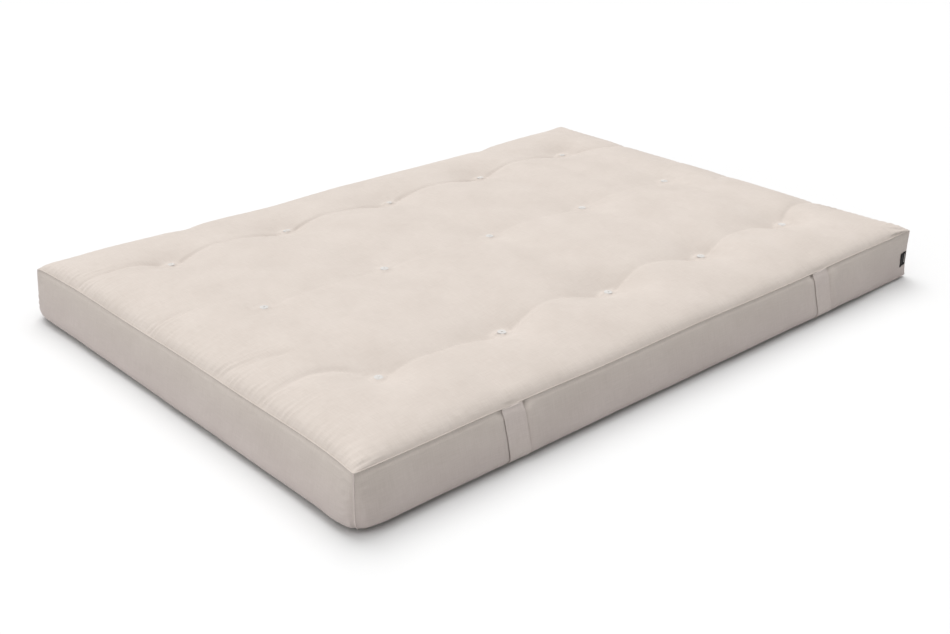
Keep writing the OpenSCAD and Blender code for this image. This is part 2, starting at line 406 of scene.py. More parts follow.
def between_tufts(x):
    """0 at each tuft along a row and 1 halfway between two."""
    return 0.5 - 0.5 * np.cos(2 * math.pi * (x - TUFT_X[0]) / (TUFT_X[1] - TUFT_X[0]))


def row_line(x, ty):
    """The fold that joins a row's tufts bows towards the middle, some spans more than others."""
    bows = (0.004, 0.026, 0.024, 0.018) if ty < 0 else (-0.006, -0.004, 0.004, 0.0)
    middles = (TUFT_X[1:] + TUFT_X[:-1]) / 2
    bow = np.interp(x, middles, bows)
    return ty - np.sign(ty) * bow * between_tufts(x) * outer_row(ty)


def end_fold(x, y, end, fold, depth, width, wider):
    """Depth of one long fold that runs from the end tufts' line out to the end seam."""
    start, inner_y, seam_y, turn, share = fold
    t = np.clip((x * end - TUFT_X[-1]) / (HALF_L - TUFT_X[-1]), 0, 1)
    along = np.clip((t - start) / (1 - start), 0, 1)
    line = inner_y + (seam_y - inner_y) * (1 - (1 - along) ** turn)
    lasting = smoothstep(start, start + 0.15, t) * (1 - t) ** 0.5
    return depth * share * lasting * bell(y - line, width + wider * t, 1.3)


def gathered(u, v, to_end, to_side):
    """Extra cloth, as a share, along each seam: along the length, and across."""
    x = u * HALF_L
    y = v * HALF_W
    corner = 0.03 * bell(np.hypot(to_end, to_side), 0.07) * (u > 0)
    along = 0.006 * np.exp(-to_side / 0.05) + corner
    across = 0.010 * np.exp(-to_end / 0.08) + corner
    for strap in STRAP_PLACES:
        along += 0.008 * bell(x - strap, 0.05) * np.exp(-to_side / 0.04)
    for end, gathers in GATHERS.items():
        for _, seam_y in gathers:
            near = bell(y - seam_y, 0.09) * np.exp(-to_end / 0.09)
            across += 0.04 * near * (u * end > 0)
    return along, across


def top_cloth():
    """The top panel, settled on coarse cells first and then on finer ones."""
    cloth = None
    for level in range(LEVELS):
        nx, ny = (n * 2 ** level for n in GRID)
        u, v = np.meshgrid(spaced(nx + 1), spaced(ny + 1), indexing="ij")
        x, y, edge_z, to_end, to_side = seam_plan(u, v)
        z = crown(edge_z, to_end, to_side)
        from_edge = np.minimum(to_end, to_side)
        lumps = 4 * MM * noise(nx + 1, ny + 1, 13, 9, 5)
        target = tufted(x, y, z + lumps * smoothstep(0, 0.045, from_edge))
        filled = xyz(x, y, target)
        cloth = filled.copy() if cloth is None else refined(refined(cloth, 0), 1)
        shiver = np.random.default_rng(3 + level)
        cloth[..., 2] += shiver.normal(0, 0.3 * MM, x.shape)
        along, across = gathered(u, v, to_end, to_side)
        slack = 1.001
        rest_a = spans(filled, 0) * slack * (1 + halfway(along, 0))
        rest_b = spans(filled, 1) * slack * (1 + halfway(across, 1))
        fixed = from_edge < 1e-9
        cloth[fixed] = xyz(x, y, z)[fixed]
        for tx, ty, seat_z, lean in tuft_seats():
            r = np.hypot(x - tx, y - ty)
            seat = r < max(PAD_R + 1 * MM, r.min() + 1e-9)
            cloth[seat] = xyz(x, y, seat_z + lean * (y - ty))[seat]
            fixed |= seat
        cloth = relax(cloth, rest_a, rest_b, target, fixed, ROUNDS[level],
                      push=0.2, pull=0.02)
    cloth[..., 2] += fine_folds(cloth, to_end, to_side) * smoothstep(0, 8 * MM, from_edge)
    return cloth


def fine_folds(cloth, to_end, to_side):
    """Puckers along the seams and creases round the tufts that are finer than the threads."""
    x = cloth[..., 0]
    y = cloth[..., 1]
    nx, ny = x.shape
    wander = noise(nx, ny, 9, 14, 21, octaves=2)
    uneven = 0.75 + 0.6 * noise(nx, ny, 5, 30, 23, octaves=1)
    longer = np.maximum(0.075 * (1 + 0.9 * noise(nx, ny, 3, 60, 25, octaves=1)), 0.03)
    depth = np.zeros_like(x)
    for end, gathers in GATHERS.items():
        for tuft_y, seam_y in gathers:
            t = np.clip(to_end / (HALF_L - TUFT_X[-1]), 0, 1)
            spread = (y - seam_y - (tuft_y - seam_y) * t ** 1.3) / (1 - 0.45 * t)
            group = bell(spread, 0.065) * (x * end > 0)
            fade = bell(to_end, longer, 1.1) * (1 - np.exp(-to_end / 0.003))
            fold = 1 - np.abs(np.sin(math.pi * spread / 0.0180 + 2.6 * wander))
            depth -= PUCKER * group * fade * fold ** 1.4 * uneven
    for end, folds in END_FOLDS.items():
        for fold in folds:
            depth -= end_fold(x, y, end, fold, depth=4.5 * MM, width=6 * MM, wider=8 * MM)
    depth += END_RIPPLE * beside(to_end, 0.035, 0.004) * ripple(y, 0.023, 4 * wander)
    fade = beside(to_side, 0.022, 0.006)
    depth += SIDE_RIPPLE * fade * ripple(x, 0.030, 6 * wander)
    from_corner = np.hypot(to_end, to_side)
    labelled = (x > 0) & (y < 0)
    ruffled = bell(from_corner, 0.075) * labelled
    depth += LABEL_RIPPLE * fade * ruffled * ripple(x, 0.019, 4 * wander)
    bearing = np.arctan2(to_side, to_end)
    ruck = np.sin(17 * bearing + 3 * wander) * bell(from_corner - 0.045, 0.030)
    depth += np.where(labelled, LABEL_RUCK, CORNER_RUCK) * ruck
    inner = smoothstep(0.76, 0.71, np.abs(x) / HALF_L)
    patchy = 0.75 + 0.5 * noise(nx, ny, 8, 6, 22)
    for ty in TUFT_Y:
        deep = (8 if outer_row(ty) else 1.6) * MM * (1 - 0.45 * between_tufts(x)) * patchy
        beyond = (y - row_line(x, ty)) * (1.0 if ty <= 0 else -1.0)
        depth -= inner * deep * bell(beyond, np.where(beyond < 0, 7 * MM, 16 * MM), 1.3)
    source = np.random.default_rng(11)
    for tx, ty, _, _ in tuft_seats():
        r, bearing = seen_from(tx, ty, x, y)
        beyond = np.maximum(r - PAD_R, 0)
        for _ in range(8):
            angle = source.uniform(-math.pi, math.pi)
            reach = source.uniform(0.018, 0.050)
            off = np.abs(np.angle(np.exp(1j * (bearing - angle)))) * r
            crease = bell(off, 2.5 * MM + 0.12 * beyond) * np.exp(-beyond / reach)
            depth -= source.uniform(0.8, 2.0) * MM * crease * (r > PAD_R)
    for tx, ty, _, _ in tuft_seats():
        depth *= smoothstep(PAD_R, PAD_R + 16 * MM, np.hypot(x - tx, y - ty))
    return depth


# ---- borders and underside
BORDER_CELLS = 28     # from the top seam down to the bottom one
STRAP_SQUEEZE = 3 * MM   # how far a strap holds its border in
STRAP_SWELL = 4 * MM     # how far the border swells out on both sides of it
CORNER_CREASE = 1.5 * MM   # depth of the creases beside the upright seams
LONG_GROOVE, END_GROOVE = 2.2 * MM, 0.8 * MM   # under the top seam
LABEL_SHIFT = Vector((5 * MM, 0, 3 * MM))   # how far the label sits from the part's own
LABEL_WIDER = Vector((5 * MM, 0, 0))        # so that it reaches the corner's outline
LABEL_HINGE_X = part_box("woven_label")[1].x
# the axis along each side, the axis out of it, and the way out
SIDES = {"front": (0, 1, -1), "back": (0, 1, 1), "left": (1, 0, -1), "right": (1, 0, 1)}
HALVES = (HALF_L, HALF_W)


def label_box():
    """Where the label lies here, from the part's own."""
    low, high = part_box("woven_label")
    return low + LABEL_SHIFT, high + LABEL_SHIFT + LABEL_WIDER


def by_label(side, t):
    """Whether places t along a side belong to the corner with the label."""
    return (t > 0) * (side == "front") + (t < 0) * (side == "right") > 0


def as_side(points, side):
    """World coordinates as places along a side, up it and out of it."""
    along, out, sign = SIDES[side]
    return xyz(points[..., along], points[..., 2], points[..., out] * sign)


def as_world(points, side):
    """The way back from as_side."""
    along, out, sign = SIDES[side]
    world = np.empty_like(points)
    world[..., along] = points[..., 0]
    world[..., 2] = points[..., 1]
    world[..., out] = points[..., 2] * sign
    return world


def bottom_edge(top_edge, side):
    """The bottom seam under one side: outside the top seam, and rounded in at its corners."""
    along, out, _ = SIDES[side]
    t = spaced(len(top_edge))
    rounding = np.maximum(1 - (1 - np.abs(t)) * HALVES[along] / 0.060, 0) ** 2
    inset = np.where(by_label(side, t), LABEL_CORNER_INSET, CORNER_INSET)
    z = BOTTOM_SEAM_Z + 1.2 * MM * noise(len(t), 3, 14, 2, 31)[:, 1]
    z[[0, -1]] = BOTTOM_SEAM_Z
    place = t * (HALVES[along] + BOTTOM_SPREAD - inset * np.abs(t))
    return as_world(xyz(place, z, HALVES[out] + BOTTOM_SPREAD - inset * rounding), side)


def sagging(h):
    """Share of the swell down a border: it grows towards the floor and turns under there."""
    return 1.35 * h ** 0.75 * (1 - h ** 10)


def poked(h):
    """How much of the label corner's poke is left down the border."""
    return 1 - 0.5 * smoothstep(0, 0.36, h)


def corner_seam(top, bottom, outward, labelled):
    """An upright corner seam, from the top corner to the bottom one."""
    h = np.linspace(0, 1, BORDER_CELLS + 1)[:, None]
    swell = (1 if labelled else 7) * MM * sagging(h)
    seam = top + (bottom - top) * np.concatenate([h ** 10, h ** 10, h], 1) + swell * outward
    if labelled:
        seam[:, :1] -= POKE * (1 - poked(h)) * (1 - h ** 10)
    return seam


def border_cloth(top_edge, side):
    """A border: swollen between its four sewn edges, then settled as cloth."""
    along, out, sign = SIDES[side]
    straps = () if along else STRAP_PLACES
    low_edge = bottom_edge(top_edge, side)
    n = len(top_edge)
    t, h = np.meshgrid(spaced(n), np.linspace(0, 1, BORDER_CELLS + 1), indexing="ij")
    tucked = xyz(h ** 8, h ** 8, h)
    points = top_edge[:, None] + (low_edge - top_edge)[:, None] * tucked
    from_corner = (1 - np.abs(t)) * HALVES[along]
    labelled = by_label(side, t)
    poke = POKE * bell(from_corner, POKE_REACH, 1.5) * (1 - poked(h))
    points[..., 0] -= poke * (1 - h ** 8) * labelled

    lumps = noise(n, BORDER_CELLS + 1, 7 if along else 10, 2, 40 + out + 2 * sign)
    swell = (BULGE + 3 * MM * lumps) * sagging(h)
    # the ends at the right are pulled flat over a longer stretch than those at the left,
    # which are round like a pillow's
    flatter = 0.32 if side == "front" else 0.10
    spread = smoothstep(0, np.where(t > 0, flatter, 0.10), from_corner) ** 0.5
    near = np.maximum(1 - from_corner / 0.085, 0)
    at_left = (sign < 0) if along else (t < 0)
    spread = np.where(at_left, np.sqrt(1 - near ** 2), spread)
    least = np.where(labelled, 0.04, 0.20)
    swell = swell * (least + (1 - least) * spread)
    for strap in straps:
        middle = 4 * h * (1 - h)
        aside = np.abs(points[..., 0] - strap)
        swell -= STRAP_SQUEEZE * middle * smoothstep(43 * MM, 31 * MM, aside)
        swell += STRAP_SWELL * middle ** 0.5 * bell(aside - 50 * MM, 0.014)

    cloth = as_side(points, side)
    cloth[..., 2] += swell
    for column, end in ((0, -1), (-1, 1)):
        outward = as_world(np.array([end, 0, 1.0]), side) * math.sqrt(0.5)
        seam = corner_seam(top_edge[column], low_edge[column], outward, labelled[column, 0])
        cloth[column] = as_side(seam, side)
    target = cloth[..., 2].copy()
    fixed = np.zeros(t.shape, bool)
    fixed[[0, -1], :] = True
    fixed[:, [0, -1]] = True
    near_corner = np.exp(-from_corner / 0.035)
    rest_a = spans(cloth, 0) * 1.002
    rest_b = spans(cloth, 1) * (1.004 + 0.05 * halfway(near_corner, 1))
    for strap in straps:
        pinch = bell(np.abs(cloth[..., 0] - strap) - 40 * MM, 0.018) * np.exp(-h / 0.25)
        rest_a = rest_a * (1 + 0.05 * halfway(pinch, 0))
    shiver = np.random.default_rng(50 + out + 2 * sign)
    cloth[..., 2] += shiver.normal(0, 0.5 * MM, t.shape) * ~fixed
    cloth = relax(cloth, rest_a, rest_b, target, fixed, rounds=160,
                  push=0.08, pull=0.04, bend=0.06)

    wander = noise(n, BORDER_CELLS + 1, 30, 3, 61 + sign)
    ruck = np.sin(2 * math.pi * 7.5 * h + 5 * wander)
    ruck = ruck * (4 * h * (1 - h)) ** 0.5 * np.exp(-from_corner / 0.028)
    cloth[..., 2] += CORNER_CREASE * ruck * (1 - np.exp(-from_corner / 0.006))
    groove = (END_GROOVE if along else LONG_GROOVE) * bell(h - 0.036, 0.022)
    cloth[..., 2] -= groove * ~fixed
    for strap in straps:
        aside = np.abs(cloth[..., 0] - strap) - 36 * MM
        beyond = np.maximum(aside, 0)
        dent = bell(aside, 0.005) * bell(h - 0.07, 0.05)
        crease = bell(h - (0.06 + 1.2 * beyond), 0.035) * np.exp(-beyond / 0.022) * (aside > 0)
        cloth[..., 2] -= (8 * dent + 3 * crease) * MM
    if side == "front":
        # the label's sewn end holds the cloth in, level with the part's own border
        low, high = label_box()
        aside = np.maximum(np.abs(cloth[..., 0] - LABEL_HINGE_X) - 7 * MM, 0)
        above = np.abs(cloth[..., 1] - (low.z + high.z) / 2) - (high.z - low.z) / 2
        held = HALF_W + 0.1 * MM + 0.30 * aside + 0.25 * np.maximum(above, 0)
        cloth[..., 2] = np.minimum(cloth[..., 2], held)
    return as_world(cloth, side)


def bottom_cloth(front, back, left, right):
    """The underside: flat where it rests, drawn up at the tufts and at its edge."""
    u = (spaced(len(front))[:, None, None] + 1) / 2
    v = (spaced(len(left))[None, :, None] + 1) / 2
    sides = front[:, None] * (1 - v) + back[:, None] * v + left[None] * (1 - u) + right[None] * u
    corners = (
        front[0] * (1 - u) * (1 - v) + front[-1] * u * (1 - v)
        + back[0] * (1 - u) * v + back[-1] * u * v
    )
    points = sides - corners
    from_edge = np.minimum(np.minimum(u, 1 - u) * 2 * HALF_L, np.minimum(v, 1 - v) * 2 * HALF_W)
    flat = smoothstep(0, 26 * MM, from_edge[..., 0])
    z = points[..., 2] * (1 - flat) + FLOOR_CLEAR * flat
    source = np.random.default_rng(12)
    for tx, ty in TUFTS:
        r, bearing = seen_from(tx, ty, points[..., 0], points[..., 1])
        creases = np.cos(6 * bearing + source.uniform(0, 6.3)) * smoothstep(PAD_R, 0.030, r)
        reach = np.maximum(r - PAD_R - 1 * MM, 0) * (1 + 0.25 * creases)
        z = np.maximum(z, BOTTOM_SEAT * bell(reach, 0.030, 1.2))
    points[..., 2] = z
    return points


def panel(side, points, material, node, flip):
    shape = points, grid_faces(*points.shape[:2], flip)
    obj = piece(f"casing_{side}", shape, material, node)


# ---- seams
def swept(path, sections):
    """A closed tube round a level path, from the (out, up) offsets of each section's points.

    out is level and to the right of the way the path runs.
    """
    ahead = unit(np.roll(path, -1, 0) - np.roll(path, 1, 0))
    level = rightwards(ahead)
    up = np.cross(level, ahead)
    rings = path[:, None] + sections[..., :1] * level[:, None] + sections[..., 1:] * up[:, None]
    return rings.reshape(-1, 3), ring_faces(*rings.shape[:2], closed=True)


def seam_piece(name, path, node, seed, material, radius):
    """A sewn ridge, slightly pinched and wandering from stitch to stitch."""
    count = len(path)
    wander = 0.35 * MM * noise(count, 3, count / 3, 2, seed)[:, 1]
    pinch = 1 + 0.12 * noise(count, 3, count / 2, 2, seed + 1)[:, 1]
    angles = around(8)
    ridge = (radius * pinch)[:, None, None] * np.stack([np.cos(angles), np.sin(angles)], -1)
    shift = wander[:, None] + (0.1 * MM, 0.4 * MM)
    piece(name, swept(path, ridge + shift[:, None]), material, node)


def loop_of(front, right, back, left):
    """One closed path from the four edges, in order round the mattress."""
    return np.concatenate([front[:-1], right[:-1], back[:0:-1], left[:0:-1]])


# ---- straps and label
def border_at(border, at, rows=None):
    """Points of a long border at one place along it, at fractional rows or at all its rows."""
    columns = np.array([
        [np.interp(at, line[:, 0], line[:, k]) for k in range(3)]
        for line in np.moveaxis(border, 1, 0)
    ])
    if rows is None:
        return columns
    index = np.arange(len(columns))
    return np.stack([np.interp(rows, index, columns[:, k]) for k in range(3)], -1)


def border_y(border, at, z):
    """y of a long border at one place along it, at one height or several."""
    line = border_at(border, at)
    return np.interp(-z, -line[:, 2], line[:, 1])


def strap_section():
    """(across, out) points of a folded strap: hems a little thicker than the middle."""
    w = np.array((-31, -30.4, -28.5, -27, -20, -10, 0, 10, 20, 27, 28.5, 30.4, 31))
    edge = np.abs(w) > 30.5
    outer = np.where(edge, 1.2, 1.7 + 0.5 * smoothstep(26.5, 28, np.abs(w)))
    inner = np.where(edge, 0.55, 0.0)
    return np.concatenate([np.stack([w, outer], -1), np.stack([w, inner], -1)[::-1]]) * MM


def strap(node, body, border, sign, at, seed):
    """A carry strap in two halves that meet at its middle, where it stands a little further off
    the border.
    """
    section = strap_section()
    rows = np.linspace(0.15, BORDER_CELLS - 0.15, 2 * STRAP_ROWS - 1)
    ends = np.abs(np.linspace(-1, 1, len(rows)))
    lift = 0.2 * MM + 0.3 * MM * (1 - ends ** 6)
    wave = 0.4 * MM * noise(len(section), len(rows), 3, 4, seed)
    grid = np.stack([border_at(border, at + w, rows) for w in section[:, 0]])
    taut = grid[:, :, 1] * sign
    snug = np.maximum(0.5 * taut + 0.5 * taut.max(0), taut)
    across, thick = section.T[..., None]
    curl = 0.5 * MM * (np.abs(across) / STRAP_HALF_W) ** 4
    grid[:, :, 1] = sign * (snug + thick + lift + curl + wave * (1 - ends ** 2))
    turning = normals_of(np.concatenate([grid[-1:], grid, grid[:1]]))[1:-1] * sign
    faces = ring_faces(STRAP_ROWS, len(section)) + caps(STRAP_ROWS, len(section))
    if sign < 0:
        faces = [face[::-1] for face in faces]
    for half, first in (("upper", 0), ("lower", STRAP_ROWS - 1)):
        part, own = (np.moveaxis(full[:, first:first + STRAP_ROWS], 1, 0)
                     for full in (grid, turning))
        obj = mesh_object(f"{node}_{half}", part, faces, MATERIALS["strap"])
        # both halves take the whole strap's normals, so that no line shows where they meet
        own = own.reshape(-1, 3)
        facing = []
        for face in obj.data.polygons:
            cap = face.index >= len(faces) - 2
            facing += [tuple(face.normal) if cap else tuple(own[i]) for i in face.vertices]
        obj.data.normals_split_custom_set(facing)
        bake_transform(obj)
        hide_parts(node)


def label(border):
    """The woven label: a folded ribbon sewn into the corner seam, marked with plain bars."""
    low, high = label_box()
    hinge = high.x - LABEL_HINGE_X
    places = np.concatenate([
        [0, hinge / 3, hinge * 2 / 3],
        hinge + np.arange(-2, 3) * 0.75 * MM,
        np.linspace(hinge + 3 * MM, high.x - low.x, 9),
    ])
    rows = 15
    heights = low.z + np.linspace(0, 1, rows) * (high.z - low.z)
    front = np.empty((len(places), rows, 3))
    for i, across in enumerate(places / places[-1]):
        x = high.x - across * (high.x - low.x)
        y = border_y(border, x, heights)
        front[i] = xyz(x, y, heights - 0.6 * MM * across)
    front[..., 1] = (front[..., 1] + front[..., 1].mean(1, keepdims=True)) / 2
    front[..., 1] -= (0.9 + 0.7 * places / places[-1])[:, None] * MM
    shape = slab_mesh(front, front + (0, 0.8 * MM, 0), flip=True)
    obj = mesh_object("woven_label_ribbon", *shape, MATERIALS["label"])
    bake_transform(obj)
    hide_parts("woven_label")


def slab_mesh(upper, lower, rim=0.0, flip=False):
    """A closed skin over two grids of points, with one more row round the edge."""
    nx, ny = upper.shape[:2]
    count = nx * ny
    index = np.arange(count).reshape(nx, ny)
    loop = np.concatenate([index[:-1, 0], index[-1, :-1], index[:0:-1, -1], index[0, :0:-1]])
    upper, lower = upper.reshape(-1, 3), lower.reshape(-1, 3)
    middle = (upper[loop] + lower[loop]) / 2
    middle = middle + rim * rightwards(np.roll(middle, -1, 0) - np.roll(middle, 1, 0))
    ring = 2 * count + np.arange(len(loop))
    after, ring_after = np.roll(loop, -1), np.roll(ring, -1)
    edge = [loop, ring, ring_after, after, ring, loop + count, after + count, ring_after]
    edge = np.stack(edge, -1).reshape(-1, 4)
    faces = grid_faces(nx, ny, flip) + grid_faces(nx, ny, not flip, count)
    faces += (edge[:, ::-1] if flip else edge).tolist()
    return np.concatenate([upper, lower, middle]), faces


# ---- tufts
# radius and height of a pad's rings in mm, from the middle out and under; None is its top
FELT_RINGS = ((1.5, None), (3, None), (5, None), (7, None), (8.8, None), (10.1, None),
              (10.8, None), (11, 0.7), (10.2, 0.0), (6, 0.0))


def felt_disc(x, y, z, facing, source, lean=0.0):
    """One felt tufting pad, dented where the twine crosses it. facing is 1 up, -1 down.

    lean is its slope from front to back, that of the cloth under it.
    """
    sides = 36
    z = z - facing * (1.7 if facing > 0 else 1.0) * MM
    angles = around(sides)
    ragged = 1 + 0.02 * np.sin(3 * angles + source.uniform(0, 6)) + source.normal(0, 0.008, sides)
    rings = []
    for r, height in FELT_RINGS:
        if height is None:
            height = 2.4 - 0.5 * math.exp(-(r / 3.2) ** 2) - 1.1 * (r / 11) ** 5
            height = height + source.normal(0, 0.05, sides)
        ring_r = r * MM * ragged
        rings.append(xyz(x + ring_r * np.cos(angles), y + ring_r * np.sin(angles),
                         z + facing * height * MM))
    points = np.concatenate(rings + [[[x, y, z + facing * 1.1 * MM]], [[x, y, z]]])
    points[:, 2] += lean * (points[:, 1] - y)
    faces = ring_faces(len(rings), sides, flip=True)
    centre = len(rings) * sides
    last = centre - sides
    for k in range(sides):
        m = (k + 1) % sides
        faces += [[k, m, centre], [last + m, last + k, centre + 1]]
    return points, [face[::-1] for face in faces] if facing < 0 else faces


def strand(path, radius, sides=5):
    """A thread along a path in any direction, upright parts included."""
    ahead = unit(np.gradient(path, axis=0))
    across = unit(np.cross(ahead, (0.31, 0.87, 0.39)))   # no path runs along this direction
    other = np.cross(ahead, across)
    turn = around(sides)[:, None]
    rings = path[:, None] + radius * np.cos(turn) * across[:, None]
    rings = rings + radius * np.sin(turn) * other[:, None]
    first, last = caps(len(path), sides)
    faces = ring_faces(len(path), sides, flip=True) + [first[::-1], last[::-1]]
    return rings.reshape(-1, 3), faces


def twine(x, y, pad_top, source):
    """Two-ply twine through one tuft: a bar over the top pad and a knot under the bottom one."""
    ply_r = 0.6 * MM
    low = BOTTOM_SEAT - PAD_T
    heights = np.arange(low, pad_top - 1.0 * MM, 1.6 * MM)
    parts = []
    for ply in (0, math.pi):
        turn = 2 * math.pi * heights / (7 * MM) + ply
        path = xyz(x + ply_r * np.cos(turn), y + ply_r * np.sin(turn), heights)
        parts.append(strand(path, ply_r))
    lie = source.uniform(0, math.pi)
    t = np.linspace(0, math.pi, 11)
    for shift in (-0.6, 0.6):
        along = -3.0 * MM * np.cos(t)
        side = shift * MM + 0.2 * MM * np.sin(2 * t)
        rise = pad_top - 1.6 * MM + 1.5 * MM * np.sin(t)
        path = xyz(x + along * math.cos(lie) - side * math.sin(lie),
                   y + along * math.sin(lie) + side * math.cos(lie), rise)
        parts.append(strand(path, ply_r))
    t = np.linspace(0, 2 * math.pi, 44)
    knot = xyz(np.sin(t) + 2 * np.sin(2 * t), np.cos(t) - 2 * np.cos(2 * t), -np.sin(3 * t))
    knot = knot * (0.85 * MM, 0.85 * MM, 0.6 * MM)
    parts.append(strand((x, y, low - 1.0 * MM) + knot, ply_r))
    return joined(parts)


def tufts():
    source = np.random.default_rng(17)
    made = []
    for tx, ty, seat, lean in tuft_seats():
        seat = seat - FAR_ROW_DEEPER * (ty == TUFT_Y[-1])
        made.append((felt_disc(tx, ty, seat, 1, source, lean),
                     felt_disc(tx, ty, BOTTOM_SEAT, -1, source),
                     twine(tx, ty, seat + PAD_T - 0.9 * MM, source)))
    top, bottom, threads = zip(*made)
    piece("felt_pads_top", joined(top), "felt", "tuft_pads_top")
    piece("felt_pads_bottom", joined(bottom), "felt", "tuft_pads_bottom")
    piece("tufting_twine", joined(threads), "twine", "tuft_twines")


# ---- filling
FILL_CELLS = (100, 70)


def lowest_near(cover, x, y, reach=0.030):
    """The lowest height of a cover within reach of places, from its grid point nearest to each."""
    z = cover[..., 2].copy()
    for axis in (0, 1):
        step = np.abs(np.diff(cover[:, :, axis], axis=axis)).min()
        for _ in range(int(reach / (2 * step)) + 1):
            z = np.minimum(z, np.minimum(np.roll(z, 1, axis), np.roll(z, -1, axis)))
    nx, ny = z.shape
    i = np.interp(x, cover[:, ny // 2, 0], np.arange(nx))
    j = np.interp(y, cover[nx // 2, :, 1], np.arange(ny))
    return z[np.rint(i).astype(int), np.rint(j).astype(int)]


def batt(name, node, x, y, edge, low, high, seed, material="cotton_filling", rim=5 * MM,
         rough=0.8 * MM):
    """One layer of filling between two heights; edge is 1 at its rim, where it thins."""
    nx, ny = x.shape
    tuck = smoothstep(0.985, 1.0, edge) * 0.25 * (high - low)
    upper = high - tuck - rough * (1 + noise(nx, ny, 34, 24, seed)) / 2
    lower = low + tuck + rough * (1 + noise(nx, ny, 34, 24, seed + 1)) / 2
    shape = slab_mesh(xyz(x, y, upper), xyz(x, y, lower), rim)
    obj = piece(name, shape, material, node)


def filling(top):
    """Three batts above the coir sheet, three below, and cotton round the sheet's edge."""
    core_low, core_top = CORE_LOW.z, CORE_HIGH.z
    u, v = np.meshgrid(*(np.linspace(-1, 1, cells + 1) for cells in FILL_CELLS), indexing="ij")
    corner = 24 * MM * np.abs(u * v) ** 14
    x = u * (HALF_L - END_PULL * drawn_in(v) - 12 * MM - corner)
    y = v * (HALF_W - SIDE_PULL * drawn_in(u) - 14 * MM - corner)
    edge = np.maximum(np.abs(u), np.abs(v))
    roof = np.maximum(lowest_near(top, x, y) - 3 * MM, core_top + 15 * MM)
    base = np.full_like(x, BOTTOM_SEAM_Z)
    for tx, ty in TUFTS:
        beyond = np.maximum(np.hypot(x - tx, y - ty) - 0.030, 0)
        base = np.maximum(base, (BOTTOM_SEAT + 3 * MM) * bell(beyond, 0.030, 1.2))
    gap = 0.5 * MM
    over = [core_top + gap + (roof - core_top - gap) * (i / 3) for i in range(4)]
    under = [core_low - gap - (core_low - gap - base) * (i / 3) for i in range(4)]
    for i in range(3):
        batt(f"cotton_above_{i + 1}", f"upper_batt_{i + 1}", x, y, edge, over[i], over[i + 1],
             60 + 2 * i)
        batt(f"cotton_below_{i + 1}", f"lower_batt_{i + 1}", x, y, edge, under[i + 1], under[i],
             70 + 2 * i)
    flat = np.zeros_like(u)
    batt("coir_sheet", "coir_core", u * CORE_HIGH.x, v * CORE_HIGH.y, edge, flat + core_low,
         flat + core_top, 80, "coir", rim=0.6 * MM, rough=1.0 * MM)
    edge_wrap()


def edge_wrap():
    """Cotton folded round the edge of the coir sheet."""
    width = 24 * MM
    x, y = (half + 1 * MM + width / 2 for half in CORE_HIGH.xy)
    step = 20 * MM
    xs = np.linspace(-x, x, int(2 * x / step))
    ys = np.linspace(-y, y, int(2 * y / step))
    path = [(a, -y) for a in xs[:-1]] + [(x, b) for b in ys[:-1]]
    path += [(a, y) for a in xs[:0:-1]] + [(-x, b) for b in ys[:0:-1]]
    path = np.array([(a, b, (CORE_LOW.z + CORE_HIGH.z) / 2) for a, b in path])
    fluff = noise(len(path), 17, len(path) / 3, 6, 90)[:, :16, None]
    size = 1 + 0.04 * fluff - 0.04
    angles = around(16)
    tall = (CORE_HIGH.z - CORE_LOW.z) / 2 - 0.6 * MM
    wide = np.sign(np.cos(angles)) * np.abs(np.cos(angles)) ** 0.5 * width / 2
    high = np.sign(np.sin(angles)) * np.abs(np.sin(angles)) ** 0.5 * tall
    shape = swept(path, np.stack([wide, high], -1) * size)
    obj = piece("edge_wrap_cotton", shape, "cotton_filling", "core_wrap")


def closing_stitches(border):
    """Slanted hand stitches that close the filling slit, low on the back border."""
    low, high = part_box("closing_stitches")
    pitch = 12 * MM
    source = np.random.default_rng(23)
    t = np.linspace(-1, 1, 7)
    parts = []
    for i in range(int(round((high.x - low.x) / pitch)) + 1):
        at = low.x + (i + 0.25) * pitch + source.normal(0, 0.5 * MM)
        z = (low.z + high.z) / 2 + source.normal(0, 0.4 * MM)
        y = border_y(border, at, z) + 0.75 * MM * (1 - t ** 4) - 0.25 * MM
        parts.append(strand(xyz(at + 3.2 * MM * t, y, z + 1.6 * MM * t), 0.5 * MM, sides=6))
    piece("closing_stitch_row", joined(parts), "twine", "closing_stitches")


# ---- materials
COTTON = (0.535, 0.481, 0.440)
# painted shade: the borders and the bottom seam take a darker, more mauve copy of the top's cotton
SIDE_COTTON_PAINTED_SHADE = (0.508, 0.450, 0.427)
# painted light: nearly the top's own colour, for the borders' upper part, so that they darken
# towards the floor
SIDE_UPPER_PAINTED_LIGHT = (0.525, 0.473, 0.434)
# painted highlight: the upright corner seams are 12% lighter than the borders' cotton
CORNER_COTTON_PAINTED_HIGHLIGHT = tuple(c * 1.12 for c in SIDE_COTTON_PAINTED_SHADE)
STRAP_COTTON = (0.545, 0.487, 0.458)
SEED_BROWN = (0.16, 0.11, 0.07)
new_material = bpy.data.materials.new


